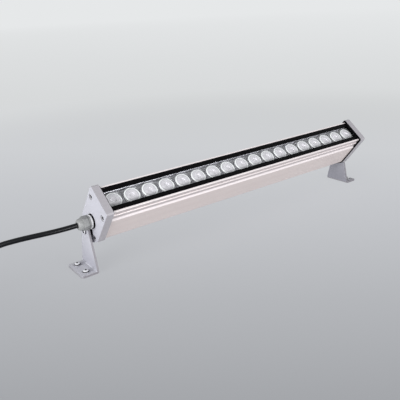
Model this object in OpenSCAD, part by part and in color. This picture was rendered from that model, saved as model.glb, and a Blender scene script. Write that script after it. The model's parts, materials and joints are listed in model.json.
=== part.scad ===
// Linear outdoor wall washer: an aluminium profile lamp that tilts between two foot brackets.
// X runs along the lamp with the cable end at -X, Z is up and the feet stand at Z = 0.
// The origin lies on the mounting surface, in the middle of the four foot holes.

/* [Housing profile] */
// Length of the extruded housing between the gaskets
housing_length = 500; // [470:1:560]
// Width of the profile across its flat side walls
housing_w = 46; // [45:0.5:50]
// Height of the profile from its flat bottom to the window lips
housing_h = 83; // [81:0.5:90]
// Width of the flat bottom
bottom_w = 18; // [14:0.5:24]
// Height at which the tapered lower walls meet the flat side walls
taper_h = 21.5; // [18:0.5:23]
// Width of the neck beside the lens chamber
neck_w = 42.4; // [41.6:0.1:43.4]
// How far the shoulder, where the side walls step in to the neck, lies below the platform
shoulder_drop = 1.8; // [1:0.1:2.4]
// Wall thickness of the driver chamber
wall = 2.2; // [1.8:0.1:2.6]
// Thickness of the platform that carries the lights
platform_t = 2.8; // [2.4:0.1:3.2]

/* [Window] */
// Thickness of the toughened glass
glass_t = 3; // [2.5:0.1:3.4]
// Width of the glass
glass_w = 38.4; // [37.4:0.1:38.4]
// Width of the black sealing strip along each edge of the glass
strip_w = 7.4; // [5:0.1:9]
// Thickness of a sealing strip over the glass
strip_t = 1; // [0.6:0.1:1.4]

/* [Lights and lenses] */
// Diameter of a lens across its rim
lens_d = 23.2; // [20:0.2:24]
// Height of a lens
lens_h = 8.9; // [8:0.1:9.3]
// Width of the light board
board_w = 33; // [30:0.5:35]
// Thickness of the light board
board_t = 1.6; // [1:0.1:1.8]

/* [Driver] */
// Length of the driver case
driver_length = 300; // [200:5:330]
// Width of the driver case
driver_w = 34; // [28:0.5:37]
// Height of the driver case
driver_h = 28; // [20:0.5:32]

/* [End caps] */
// Thickness of an end cap
cap_t = 11; // [9.5:0.5:14]
// How far a cap stands out past the side walls of the housing
cap_lip = 2; // [1.5:0.1:3]
// How far a cap stands above the window
cap_top_lip = 3.5; // [2.5:0.1:5]
// Thickness of the sheet gasket under each cap
gasket_t = 1.5; // [1:0.1:2.5]
// Diameter of the cap screws
cap_screw_d = 4; // [3.5:0.1:4.4]

/* [Cable gland] */
// Width across the flats of the gland's hexagons
gland_af = 18; // [17.4:0.1:18.4]
// Outer length of the gland, from the cap to the end of its dome
gland_length = 21.5; // [20:0.5:26]
// Thread diameter of the gland
gland_thread_d = 16; // [15:0.1:16.4]

/* [Brackets] */
// Height of the pivot axis above the mounting surface
pivot_z = 57; // [54:0.5:90]
// Tilt of the lamp from upright
tilt = 38; // [20:1:60]
// Height of the pivot axis above the flat bottom of the profile
pivot_up = 16; // [15:0.5:17]
// Thickness of the bracket plate
plate_t = 3; // [2:0.1:4]
// Width of a foot
foot_w = 48; // [44:0.5:60]
// How far a foot reaches outwards from the inner face of its bracket
foot_length = 26; // [24:0.5:34]
// Distance between the two holes of a foot
foot_hole_spacing = 28; // [20:0.5:32]
// Diameter of the foot holes
foot_hole_d = 5.5; // [4:0.1:6.5]
// Diameter of the pivot bolts
pivot_d = 5; // [4:0.1:5.4]

/* [Lead] */
// Diameter of the rubber lead
cord_d = 7; // [6.6:0.1:7]
// Turns in the coil of the lead that is put away
coil_turns = 3.25; // [2.25:1:4.25]

/* [Hidden] */

// One overrun serves every cut
over = 0.5;
// Clearance of a screw or a bolt in a plain hole
screw_play = 0.2;
// Clearance of a screw shank in its threaded hole
thread_play = 0.05;
// Clearance between parts that slide into each other
fit_play = 0.1;
// Radius of the smallest edges and roundings
edge_r = 0.6;
// How far a screw stays short of the far side of its hole
screw_short = 0.5;

// Housing profile
housing_corner_r = 4;
shoulder_rise = 2.5;
rib_out = 0.9;
rib_w = 2.2;
rib_drop = 9.4;
rib_h = housing_h - rib_drop;
lip_w = 2.6;
lip_h = housing_h - lip_w;
inner_corner_r = 2.5;
chamber_wall = 3;
ledge_w = 1.6;
ledge_t = 1.6;
pocket_play = 0.2;
port_r = 3.2;
port_upper_drop = 12.7;
port_lower_in = 7;
port_lower_drop = 3;
screw_bite = 12;
wire_hole_r = 3;
glass_h = housing_h - strip_t - glass_t;
pocket_w = glass_w + pocket_play * 2;
chamber_w = neck_w - chamber_wall * 2;
ledge_gap = pocket_w - ledge_w * 3;
port_upper_x = neck_w / 2 - port_r;
port_upper_h = housing_h - port_upper_drop;
port_lower_x = housing_w / 2 - port_lower_in;
port_lower_h = taper_h - port_lower_drop;
port_bore_r = cap_screw_d / 2 + thread_play;
port_places = [[port_upper_x, port_upper_h], [-port_upper_x, port_upper_h],
               [port_lower_x, port_lower_h], [-port_lower_x, port_lower_h]];
taper_tan = (housing_w - bottom_w) / 2 / taper_h;
taper_cos = cos(atan(taper_tan));

// Sealing strips
strip_crown = 0.3;

// Lights and lenses
lens_count = 18;
lens_end_gap = 0.1;
lens_end = lens_d / 2 + lens_end_gap;
lens_pitch = (housing_length - lens_end * 2) / (lens_count - 1);
lens_rim_t = 1.2;
lens_rim_w = 0.9;
lens_base_d = 10;
lens_well_d = 6.4;
lens_well_h = 4;
lens_dimple_d = 8;
lens_dimple_h = 1.2;
holder_d = 20;
holder_h = 3.6;
holder_lip = 0.6;
holder_floor = 1.2;
holder_peg_d = 1.6;
holder_peg_place = 8.4;
holder_pegs = 3;
emitter_w = 3.4;
emitter_t = 0.8;
emitter_dome_r = 1.3;
board_end_gap = 2;
board_screw_d = 3;
board_screw_head_r = 2.7;
board_screw_head_t = 1.8;
board_screw_count = 5;
lens_gap = 2.5;
lens_seat_h = glass_h - lens_gap - lens_h;
board_top_h = lens_seat_h - holder_floor;
platform_h = board_top_h - board_t;
platform_low_h = platform_h - platform_t;
shoulder_h = platform_h - shoulder_drop;

// Driver
driver_corner_r = 2;
driver_pad_t = 1;
driver_ear = 9;
driver_ear_t = 3;
driver_ear_w = 22;
driver_screw_place = 7;
driver_screw_d = 3;
driver_screw_head_r = 2.8;
driver_screw_head_t = 2;
driver_top_h = platform_low_h - driver_pad_t;
driver_wire_h = driver_top_h - driver_h / 2;

driver_room = 50;
jacket_inside = 10;
jacket_end_x = -housing_length / 2 + jacket_inside;
driver_x = jacket_end_x + driver_room + driver_ear + driver_length / 2;
driver_end_x = driver_x - driver_length / 2;
driver_far_x = driver_x + driver_length / 2;

// Wires inside the housing
core_r = 1.2;
core_ring_r = 1.65;
output_r = 0.9;
output_y = 9;
output_step = 1.2;
output_out = 8;
output_gap = ceil((driver_far_x + driver_ear + output_out) / lens_pitch + lens_count / 2) - 1;
output_x = lens_x(output_gap) + lens_pitch / 2;
wire_sides = 6;
wire_straight = core_r * 2;

// Earth connection under the platform, between the lead and the driver
earth_room = 32;
earth_screw_d = 4;
earth_head_r = 3.6;
earth_head_t = 2.6;
earth_tag_r = 4;
earth_tag_t = 0.8;
earth_barrel = 6;
earth_barrel_r = 1.7;
earth_x = jacket_end_x + earth_room;
earth_end_x = earth_x - earth_tag_r - earth_barrel;
earth_wire_h = platform_low_h - earth_barrel_r - fit_play;

// End caps
cap_corner_r = 3;
cap_small_r = 2;
cap_wall_t = 4;
cap_pocket_room = 4;
cap_pocket_r = 3;
counterbore_r = 4.25;
counterbore_t = 5;
screw_head_r = 3.5;
screw_head_t = 4;
screw_socket_af = 3;
screw_socket_t = 2;
// The gasket at the blind end is squeezed out almost to the edge of its cap
gasket_inset_cable_end = 1.7;
gasket_inset_blind_end = 0.3;
pivot_bite = 8;

// Cable gland
gland_up = 22;
gland_washer_t = 2;
gland_washer_r = 10.5;
gland_flange_t = 1.2;
gland_hex_t = 3.8;
gland_step = 0.4;
gland_nut_hex_t = 7.5;
gland_nut_wall = 1.4;
gland_mouth_r = 5.6;
gland_hole_play = 0.5;
gland_hole_t = 1.6;
gland_seal_wall = 2.6;
gland_seal_t = 8;
gland_bore_wall = 1.6;
gland_tail = 12;
gland_round_share = 0.985;
locknut_t = 5;
gland_s = pivot_up + gland_up;
gland_corner_r = gland_af / sqrt(3);
cap_pocket_w = gland_corner_r * 2 + cap_pocket_room;
cap_pocket_bottom = gland_s - cap_pocket_w / 2;
cap_pocket_top = gland_s + cap_pocket_w / 2;
thread_r = gland_thread_d / 2;

// Brackets
spacer_t = 3.5;
spacer_r = 11;
plate_top_r = 11;
bend_inner_r = 1;
foot_corner_r = 3;
foot_hole_end = 10.5;
pivot_head_r = 4.4;
pivot_head_t = 2.6;
pivot_socket_af = 3;
pivot_socket_t = 1.6;
pivot_play = 0.06;

// Places along the lamp, measured from its middle
cap_inner_x = housing_length / 2 + gasket_t;
cap_outer_x = cap_inner_x + cap_t;
plate_inner_x = cap_outer_x + spacer_t;
plate_outer_x = plate_inner_x + plate_t;
foot_end_x = plate_inner_x + foot_length;
foot_hole_x = foot_end_x - foot_hole_end;
gland_end_x = cap_outer_x + gland_length;

// Lead: its route from the gland down to the coil on the floor
cord_r = cord_d / 2;
loop_gap = 0.6;
loop_step = cord_d + loop_gap;
cord_sides = 10;
coil_sides = 6;
coil_rings = 24;
coil_x = -505;
coil_y = -17;
coil_r = 44;
tail_length = 14;
core_bare = 34;
ferrule_length = 9;
ferrule_r = 0.95;
ferrule_collar_r = 1.38;
ferrule_collar_t = 2;
lead_exit = lamp_point(-gland_end_x, 0, gland_s);
coil_start = [coil_x + cord_d, coil_y + coil_r, cord_r + loop_step];
route = [
    [-300, -13.2, 74.3],
    [-316, -11.2, 74.1],
    [-332, -7.6, 73.7],
    [-348, -2.8, 72.9],
    [-364, 3, 71.3],
    [-380, 9.6, 68.4],
    [-395, 15.4, 63.2],
    [-408, 19.8, 55.6],
    [-420, 23, 46.6],
    [-432, 25.4, 37.2],
    [-445, 27, 28.2],
    [-460, 27.8, 20],
    [-476, 27.6, 14.2]];

// Shared functions
function lens_name(i) = str("lens_", i < 9 ? "0" : "", i + 1);
function board_screw_x(k) = lens_x(round(k * (lens_count - 2) / (board_screw_count - 1))) + lens_pitch / 2;
function lens_x(i) = (i - (lens_count - 1) / 2) * lens_pitch;
function unit(v) = v / norm(v);
// Point of the tilted lamp, from its place along, across and up the profile
function lamp_point(x, y, s) =
    [x,
     y * cos(tilt) - (s - pivot_up) * sin(tilt),
     pivot_z + y * sin(tilt) + (s - pivot_up) * cos(tilt)];
// Outline corner replaced by an arc
function corner_arc(a, b, c, r, steps) =
    let (u = unit(a - b),
         v = unit(c - b),
         half = acos(u * v) / 2,
         m = b + unit(u + v) * r / sin(half),
         p = b + u * r / tan(half) - m,
         q = b + v * r / tan(half) - m,
         start = atan2(p[1], p[0]),
         turn = (atan2(q[1], q[0]) - start + 540) % 360 - 180)
    [for (k = [0 : steps]) m + r * [cos(start + turn * k / steps), sin(start + turn * k / steps)]];
function rounded(points, radii, steps) =
    let (n = len(points))
    [for (i = [0 : n - 1])
        each radii[i] == 0
            ? [points[i]]
            : corner_arc(points[(i + n - 1) % n], points[i], points[(i + 1) % n], radii[i], steps)];
function mirrored(half) = concat(half, [for (i = [len(half) - 1 : -1 : 0]) [-half[i][0], half[i][1]]]);
// Half width of the tapered lower part at a height, grown outwards by a margin
function taper_half(s, grow) = bottom_w / 2 + s * taper_tan + grow / taper_cos;
function taper_corner(grow) = (housing_w / 2 + grow - taper_half(0, grow)) / taper_tan;
function hexagon(grow, top) = mirrored([
    [taper_half(-grow, grow), -grow],
    [housing_w / 2 + grow, taper_corner(grow)],
    [housing_w / 2 + grow, top]]);
// Direction of a path at one of its points
function tangent(path, i) =
    unit(path[min(i + 1, len(path) - 1)] - path[max(i - 1, 0)]);
function ring(centre, along, r, sides) =
    let (side = unit(cross(along, [0, 0, 1])), up = cross(side, along))
    [for (k = [0 : sides - 1])
        centre + r * (side * cos(360 * (k + 0.5) / sides) + up * sin(360 * (k + 0.5) / sides))];
function path_length(path) =
    len(path) < 2 ? 0 : sum([for (i = [0 : len(path) - 2]) norm(path[i + 1] - path[i])]);
function sum(values) = values * [for (v = values) 1];

// Round bar along a path, closed at both ends
module sweep(path, r, sides) {
    rings = [for (i = [0 : len(path) - 1]) ring(path[i], tangent(path, i), r, sides)];
    points = [for (one = rings) each one];
    last = (len(path) - 1) * sides;
    walls = [for (i = [0 : len(path) - 2], k = [0 : sides - 1])
        let (a = i * sides + k, b = i * sides + (k + 1) % sides)
        each [[a, b, a + sides], [b, b + sides, a + sides]]];
    ends = concat(
        [for (k = [1 : sides - 2]) [0, k + 1, k]],
        [for (k = [1 : sides - 2]) [last, last + k, last + k + 1]]);
    polyhedron(points, concat(walls, ends));
}
// Places children of the upright profile in the tilted lamp
module lamp() {
    translate([0, 0, pivot_z])
        rotate([tilt, 0, 0])
            translate([0, 0, -pivot_up])
                children();
}
// Extrudes an outline of the profile from one place along the lamp to another
module run(from, to) {
    translate([from, 0, 0])
        rotate([90, 0, 90])
            linear_extrude(to - from)
                children();
}
// Round bar along the lamp
module bar(from, to, y, s, r) {
    translate([from, y, s])
        rotate([0, 90, 0])
            cylinder(h = to - from, r = r, $fn = 48);
}
module hex_bar(from, to, y, s, flats) {
    translate([from, y, s])
        rotate([0, 90, 0])
            cylinder(h = to - from, r = flats / sqrt(3), $fn = 6);
}
// Turns the cable end into the blind end
module other_end() {
    mirror([1, 0, 0])
        children();
}

// Extruded housing: a driver chamber below, a platform, and a lens chamber with ledges for the glass
module housing_outline() {
    half = [
        [bottom_w / 2, 0],
        [housing_w / 2, taper_h],
        [housing_w / 2, shoulder_h],
        [neck_w / 2, shoulder_h + shoulder_rise],
        [neck_w / 2, rib_h - rib_w / 2],
        [neck_w / 2 + rib_out, rib_h - rib_w / 2],
        [neck_w / 2 + rib_out, rib_h + rib_w / 2],
        [neck_w / 2, rib_h + rib_w / 2],
        [neck_w / 2, lip_h],
        [neck_w / 2 + edge_r, lip_h + edge_r],
        [neck_w / 2 + edge_r, housing_h]];
    half_radii = [edge_r, housing_corner_r, edge_r * 2, edge_r, 0, edge_r, edge_r, 0, 0, 0, edge_r];
    radii = concat(half_radii, [for (i = [len(half_radii) - 1 : -1 : 0]) half_radii[i]]);
    polygon(rounded(mirrored(half), radii, 5));
}
module driver_chamber() {
    low = mirrored([
        [taper_half(wall, -wall), wall],
        [housing_w / 2 - wall, taper_corner(-wall)],
        [housing_w / 2 - wall, platform_low_h]]);
    polygon(rounded(low, [for (p = low) inner_corner_r], 5));
}
module block(w, low, high) {
    translate([-w / 2, low])
        square([w, high - low]);
}
module housing_section() {
    difference() {
        union() {
            difference() {
                housing_outline();
                driver_chamber();
                block(chamber_w, platform_h, glass_h - ledge_t);
                block(ledge_gap, platform_h, glass_h + over);
                block(pocket_w, glass_h, housing_h + over);
            }
            intersection() {
                housing_outline();
                for (place = port_places)
                    translate(place)
                        circle(r = port_r, $fn = 48);
            }
        }
        for (place = port_places)
            translate(place)
                circle(r = port_bore_r, $fn = 48);
    }
}
module housing() {
    color([0.80, 0.77, 0.78])
        lamp()
            difference() {
                run(-housing_length / 2, housing_length / 2)
                    housing_section();
                for (k = [0 : board_screw_count - 1])
                    platform_hole(board_screw_x(k), 0, board_screw_d / 2 + thread_play);
                for (end = [-1, 1], side = [-1, 1])
                    platform_hole(driver_screw_x(end), side * driver_screw_place,
                                  driver_screw_d / 2 + thread_play);
                platform_hole(output_x, output_y, wire_hole_r);
                platform_hole(earth_x, 0, earth_screw_d / 2 + thread_play);
            }
}
module platform_hole(x, y, r) {
    translate([x, y, platform_low_h - over])
        cylinder(h = platform_t + over * 2, r = r, $fn = 32);
}
function driver_screw_x(end) = driver_x + end * (driver_length + driver_ear) / 2;

// Glass window, bedded on the ledges and held by a black strip along each edge
module window_glass() {
    color([0.82, 0.86, 0.88, 0.35])
        lamp()
            run(-housing_length / 2, housing_length / 2)
                block(glass_w, glass_h, glass_h + glass_t);
}
module seal_strip(side) {
    outer = pocket_w / 2 - fit_play;
    color([0.05, 0.05, 0.055])
        lamp()
            run(-housing_length / 2, housing_length / 2)
                scale([side, 1])
                    polygon([
                        [outer, glass_h + glass_t],
                        [outer, housing_h],
                        [outer - strip_w / 4, housing_h + strip_crown],
                        [outer - strip_w / 2, housing_h + strip_crown],
                        [outer - strip_w + strip_crown, housing_h],
                        [outer - strip_w, housing_h - strip_crown],
                        [outer - strip_w, glass_h + glass_t]]);
}

// Row of lights on an aluminium board, each under its own lens
module led_board() {
    color([0.62, 0.63, 0.64])
        lamp()
            difference() {
                run(-housing_length / 2 + board_end_gap, housing_length / 2 - board_end_gap)
                    block(board_w, platform_h, board_top_h);
                for (k = [0 : board_screw_count - 1])
                    board_hole(board_screw_x(k), 0, board_screw_d / 2 + screw_play);
                board_hole(output_x, output_y, wire_hole_r);
            }
}
module board_hole(x, y, r) {
    translate([x, y, platform_h - over])
        cylinder(h = board_t + over * 2, r = r, $fn = 32);
}
module led_emitters() {
    color([0.93, 0.86, 0.45])
        lamp()
            for (i = [0 : lens_count - 1])
                translate([lens_x(i), 0, board_top_h]) {
                    translate([-emitter_w / 2, -emitter_w / 2, 0])
                        cube([emitter_w, emitter_w, emitter_t]);
                    intersection() {
                        translate([0, 0, emitter_t])
                            sphere(r = emitter_dome_r, $fn = 32);
                        translate([0, 0, emitter_t / 2])
                            cylinder(h = emitter_dome_r * 2, r = emitter_dome_r + over, $fn = 32);
                    }
                }
}
module lens_holders() {
    lip_r = lens_base_d / 2 - holder_lip;
    seat_r = lens_base_d / 2 + fit_play * 3;
    flare = (lens_d / 2 - lens_rim_w - lens_base_d / 2) / (lens_h - lens_rim_t);
    mouth_r = seat_r + (holder_h - holder_floor) * flare;
    color([0.78, 0.78, 0.79])
        lamp()
            for (i = [0 : lens_count - 1])
                translate([lens_x(i), 0, board_top_h])
                    difference() {
                        rotate_extrude($fn = 48)
                            polygon([
                                [lip_r, 0],
                                [holder_d / 2, 0],
                                [holder_d / 2, holder_h - edge_r],
                                [holder_d / 2 - edge_r, holder_h],
                                [mouth_r, holder_h],
                                [seat_r, holder_floor],
                                [lip_r, holder_floor]]);
                        for (k = [0 : holder_pegs - 1])
                            rotate([0, 0, 360 / holder_pegs * k])
                                translate([holder_peg_place, 0, holder_h - holder_floor])
                                    cylinder(h = holder_floor + over, r = holder_peg_d / 2, $fn = 24);
                    }
}
module lens(i) {
    rim_r = lens_d / 2;
    color([0.93, 0.94, 0.96, 0.45])
        lamp()
            translate([lens_x(i), 0, board_top_h + holder_floor])
                rotate_extrude($fn = 64)
                    polygon([
                        [0, lens_well_h],
                        [lens_well_d / 2 - edge_r, lens_well_h - edge_r],
                        [lens_well_d / 2, 0],
                        [lens_base_d / 2, 0],
                        [rim_r - lens_rim_w, lens_h - lens_rim_t],
                        [rim_r, lens_h - lens_rim_t],
                        [rim_r, lens_h - lens_dimple_h / 4],
                        [rim_r - lens_dimple_h / 4, lens_h],
                        [lens_dimple_d / 2, lens_h],
                        [lens_dimple_d / 2 - edge_r, lens_h - lens_dimple_h],
                        [0, lens_h - lens_dimple_h]]);
}
module pan_screw(head_r, head_t, shank_r, length, socket_t) {
    difference() {
        rotate_extrude($fn = 32)
            polygon([
                [0, -length],
                [shank_r - edge_r / 2, -length],
                [shank_r, edge_r - length],
                [shank_r, 0],
                [head_r, 0],
                [head_r, head_t - edge_r],
                [head_r - edge_r, head_t],
                [0, head_t]]);
        for (turn = [0, 90])
            rotate([0, 0, turn])
                translate([-head_r / 2, -shank_r / 4, head_t - socket_t])
                    cube([head_r, shank_r / 2, socket_t + over]);
    }
}
module board_screws() {
    color([0.7, 0.7, 0.72])
        lamp()
            for (k = [0 : board_screw_count - 1])
                translate([board_screw_x(k), 0, board_top_h])
                    pan_screw(board_screw_head_r, board_screw_head_t, board_screw_d / 2,
                              board_t + platform_t - screw_short, board_screw_head_t / 2);
}

// Driver: a potted case with an ear at each end, screwed up under the platform
module driver_case() {
    corners = [for (x = [-1, 1], s = [0, 1]) [x, s]];
    color([0.86, 0.86, 0.84])
        lamp()
            difference() {
                union() {
                    run(driver_x - driver_length / 2, driver_x + driver_length / 2)
                        polygon(rounded([
                            [-driver_w / 2, driver_top_h - driver_h],
                            [driver_w / 2, driver_top_h - driver_h],
                            [driver_w / 2, driver_top_h],
                            [-driver_w / 2, driver_top_h]],
                            [for (c = corners) driver_corner_r], 5));
                    run(driver_x - driver_length / 2 - driver_ear, driver_x + driver_length / 2 + driver_ear)
                        block(driver_ear_w, driver_top_h - driver_ear_t, driver_top_h);
                }
                for (end = [-1, 1], side = [-1, 1])
                    translate([driver_screw_x(end), side * driver_screw_place, driver_top_h - driver_ear_t - over])
                        cylinder(h = driver_ear_t + over * 2, r = driver_screw_d / 2 + screw_play, $fn = 32);
            }
}
module driver_pad() {
    color([0.55, 0.62, 0.72])
        lamp()
            difference() {
                run(driver_x - driver_length / 2 - driver_ear, driver_x + driver_length / 2 + driver_ear)
                    block(driver_ear_w, driver_top_h, driver_top_h + driver_pad_t);
                for (end = [-1, 1], side = [-1, 1])
                    translate([driver_screw_x(end), side * driver_screw_place, driver_top_h - over])
                        cylinder(h = driver_pad_t + over * 2, r = driver_screw_d / 2 + screw_play, $fn = 32);
            }
}
module driver_screws() {
    color([0.7, 0.7, 0.72])
        lamp()
            for (end = [-1, 1], side = [-1, 1])
                translate([driver_screw_x(end), side * driver_screw_place, driver_top_h - driver_ear_t])
                    rotate([180, 0, 0])
                        pan_screw(driver_screw_head_r, driver_screw_head_t, driver_screw_d / 2,
                                  driver_ear_t + driver_pad_t + platform_t - screw_short, driver_screw_head_t / 2);
}

// Wires inside the housing, from the lead to the driver and on to the light board
function core_start(k) =
    [core_ring_r * cos(90 + 120 * k), core_ring_r * sin(90 + 120 * k)];
function core_path(k) =
    let (c = core_start(k),
         near = jacket_end_x + wire_straight,
         room = driver_end_x - wire_straight - near,
         lane = (k - 1) * core_r * 4,
         rise = driver_wire_h - gland_s)
    concat(
        [lamp_point(jacket_end_x, c[0], gland_s + c[1])],
        [for (share = [0, 0.15, 0.35, 0.5, 0.65, 0.85, 1])
            let (ease = share * share * (3 - 2 * share))
            lamp_point(near + room * share,
                       c[0] + (lane - c[0]) * ease,
                       gland_s + c[1] + (rise - c[1]) * ease)],
        [lamp_point(driver_end_x, lane, driver_wire_h)]);
// The earth core climbs to the tag under the platform
function earth_path() =
    let (c = core_start(0),
         near = jacket_end_x + wire_straight,
         room = earth_end_x - near)
    concat(
        [lamp_point(jacket_end_x, c[0], gland_s + c[1])],
        [for (share = [0, 0.15, 0.3, 0.45, 0.6, 0.75, 0.9, 1])
            let (ease = share * share * (3 - 2 * share))
            lamp_point(near + room * share, c[0],
                       gland_s + c[1] + (earth_wire_h - gland_s - c[1]) * ease)],
        [lamp_point(earth_end_x + earth_barrel / 2, c[0], earth_wire_h)]);
module input_cores() {
    color([0.45, 0.26, 0.14])
        sweep(core_path(1), core_r, wire_sides);
    color([0.16, 0.3, 0.62])
        sweep(core_path(2), core_r, wire_sides);
}
module output_wires() {
    for (side = [-1, 1]) {
        lane = output_y + side * output_step;
        color(side < 0 ? [0.65, 0.1, 0.1] : [0.08, 0.08, 0.08])
            sweep([
                lamp_point(driver_far_x, lane, driver_wire_h),
                lamp_point(driver_far_x + output_out, lane, driver_wire_h),
                lamp_point(output_x - output_out * 1.4, lane, driver_wire_h + output_out / 4),
                lamp_point(output_x - output_out / 2, lane, driver_wire_h + output_out),
                lamp_point(output_x, lane, platform_low_h - output_out / 2),
                lamp_point(output_x, lane, board_top_h + output_r)],
                output_r, wire_sides);
    }
}

// Earth screw and crimped tag, up against the platform
module earth_tag() {
    color([0.75, 0.76, 0.78])
        lamp()
            difference() {
                union() {
                    translate([earth_x, 0, platform_low_h - earth_tag_t])
                        cylinder(h = earth_tag_t, r = earth_tag_r, $fn = 48);
                    run(earth_end_x, earth_x - earth_screw_d / 2 - fit_play)
                        block(earth_barrel_r * 2, platform_low_h - earth_tag_t, platform_low_h);
                    bar(earth_end_x, earth_end_x + earth_barrel, 0, earth_wire_h, earth_barrel_r);
                }
                translate([earth_x, 0, platform_low_h - earth_tag_t - over])
                    cylinder(h = earth_tag_t + over * 2, r = earth_screw_d / 2 + fit_play, $fn = 48);
                bar(earth_end_x - over, earth_end_x + earth_barrel / 2, 0, earth_wire_h, core_r + thread_play);
            }
}
module earth_screw() {
    color([0.82, 0.7, 0.36])
        lamp()
            translate([earth_x, 0, platform_low_h - earth_tag_t])
                rotate([180, 0, 0])
                    pan_screw(earth_head_r, earth_head_t, earth_screw_d / 2,
                              earth_tag_t + platform_t - screw_short, earth_head_t / 2);
}
module earth_core() {
    color([0.45, 0.6, 0.15])
        sweep(earth_path(), core_r, wire_sides);
}

// End cap: a milled plate with an inner pocket, four counterbored screw holes and the pivot hole
module cap_outline(shrink) {
    points = hexagon(cap_lip - shrink, housing_h + cap_top_lip - shrink);
    radii = [cap_small_r, cap_small_r, cap_corner_r, cap_corner_r, cap_small_r, cap_small_r];
    polygon(rounded(points, radii, 6));
}
module cap_pocket() {
    corners = mirrored([[cap_pocket_w / 2, cap_pocket_bottom], [cap_pocket_w / 2, cap_pocket_top]]);
    polygon(rounded(corners, [for (c = corners) cap_pocket_r], 6));
}
module end_cap(gland_hole) {
    color([0.84, 0.84, 0.87])
        lamp()
            difference() {
                run(-cap_outer_x, -cap_inner_x)
                    cap_outline(0);
                run(-cap_outer_x + cap_wall_t, -cap_inner_x + over)
                    cap_pocket();
                for (place = port_places) {
                    bar(-cap_outer_x - over, -cap_inner_x + over, place[0], place[1],
                        cap_screw_d / 2 + screw_play);
                    bar(-cap_outer_x - over, -cap_outer_x + counterbore_t, place[0], place[1], counterbore_r);
                }
                bar(-cap_outer_x - over, -cap_outer_x + pivot_bite + fit_play * 5, 0, pivot_up,
                    pivot_d / 2 + thread_play);
                if (gland_hole)
                    bar(-cap_outer_x - over, -cap_inner_x + over, 0, gland_s, thread_r + thread_play);
            }
}
module gasket(inset) {
    color([0.06, 0.06, 0.065])
        lamp()
            difference() {
                run(-cap_inner_x, -housing_length / 2)
                    cap_outline(inset);
                for (place = port_places)
                    bar(-cap_inner_x - over, -housing_length / 2 + over, place[0], place[1],
                        cap_screw_d / 2 + screw_play);
                run(-cap_inner_x - over, -housing_length / 2 + over)
                    cap_pocket();
            }
}
// Socket head cap screw along the lamp, its head towards -X
module socket_screw(x, y, s) {
    difference() {
        union() {
            bar(x - screw_head_t, x, y, s, screw_head_r);
            bar(x - fit_play, x + cap_t - counterbore_t + gasket_t + screw_bite, y, s, cap_screw_d / 2);
        }
        hex_bar(x - screw_head_t - over, x - screw_head_t + screw_socket_t, y, s, screw_socket_af);
    }
}
module cap_screws() {
    color([0.72, 0.72, 0.75])
        lamp()
            for (place = port_places)
                socket_screw(-cap_outer_x + counterbore_t, place[0], place[1]);
}

// Cable gland: washer, body, domed nut, rubber seal and locknut
module gland_turned(points) {
    translate([-cap_outer_x, 0, gland_s])
        rotate([0, -90, 0])
            rotate_extrude($fn = 64)
                polygon(points);
}
module gland_hexagon(low, high) {
    translate([-cap_outer_x, 0, gland_s])
        rotate([0, -90, 0])
            translate([0, 0, low])
                cylinder(h = high - low, r = gland_corner_r, $fn = 6);
}
gland_hex_from = gland_washer_t + gland_flange_t;
gland_hex_to = gland_hex_from + gland_hex_t;
gland_nut_from = gland_hex_to + gland_step;
gland_nut_to = gland_nut_from + gland_nut_hex_t;
gland_neck_to = gland_nut_to - gland_step;
gland_bore_r = thread_r - gland_bore_wall;
gland_round_r = gland_corner_r * gland_round_share;
gland_seal_r = cord_r + gland_seal_wall;
module gland_washer() {
    color([0.04, 0.04, 0.045])
        lamp()
            gland_turned([
                [thread_r + fit_play, 0],
                [gland_washer_r, 0],
                [gland_washer_r, gland_washer_t],
                [thread_r + fit_play, gland_washer_t]]);
}
module gland_body() {
    color([0.66, 0.66, 0.66])
        lamp()
            difference() {
                union() {
                    gland_turned([
                        [0, -gland_tail],
                        [thread_r, -gland_tail],
                        [thread_r, gland_washer_t],
                        [gland_af / 2 + gland_step, gland_washer_t],
                        [gland_af / 2 + gland_step, gland_hex_from],
                        [thread_r, gland_hex_from],
                        [thread_r, gland_neck_to],
                        [0, gland_neck_to]]);
                    intersection() {
                        gland_hexagon(gland_hex_from - over / 2, gland_hex_to);
                        gland_turned([
                            [0, gland_hex_from - over / 2],
                            [gland_round_r, gland_hex_from - over / 2],
                            [gland_round_r, gland_hex_to - edge_r],
                            [gland_round_r - edge_r, gland_hex_to],
                            [0, gland_hex_to]]);
                    }
                }
                gland_turned([
                    [0, -gland_tail - over],
                    [gland_bore_r, -gland_tail - over],
                    [gland_bore_r, gland_neck_to + over],
                    [0, gland_neck_to + over]]);
            }
}
module gland_nut() {
    dome = gland_length - gland_nut_to;
    color([0.68, 0.68, 0.68])
        lamp()
            difference() {
                union() {
                    intersection() {
                        gland_hexagon(gland_nut_from, gland_nut_to);
                        gland_turned([
                            [0, gland_nut_from],
                            [gland_round_r - edge_r, gland_nut_from],
                            [gland_round_r, gland_nut_from + edge_r],
                            [gland_round_r, gland_nut_to - edge_r],
                            [gland_round_r - edge_r, gland_nut_to],
                            [0, gland_nut_to]]);
                    }
                    gland_turned(concat(
                        [[0, gland_nut_to - gland_step]],
                        [[gland_af / 2 - gland_step, gland_nut_to - gland_step]],
                        [for (k = [0 : 8])
                            [gland_mouth_r + (gland_af / 2 - gland_step - gland_mouth_r) * cos(90 * k / 8),
                             gland_nut_to + dome * sin(90 * k / 8)]],
                        [[0, gland_length]]));
                }
                gland_turned([
                    [0, gland_nut_from - over],
                    [thread_r + fit_play, gland_nut_from - over],
                    [thread_r + fit_play, gland_nut_to],
                    [gland_seal_r + fit_play, gland_nut_to + gland_nut_wall / 2],
                    [gland_seal_r + fit_play, gland_length - gland_hole_t * 2],
                    [cord_r + gland_hole_play, gland_length - gland_hole_t],
                    [cord_r + gland_hole_play, gland_length + over],
                    [0, gland_length + over]]);
            }
}
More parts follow.
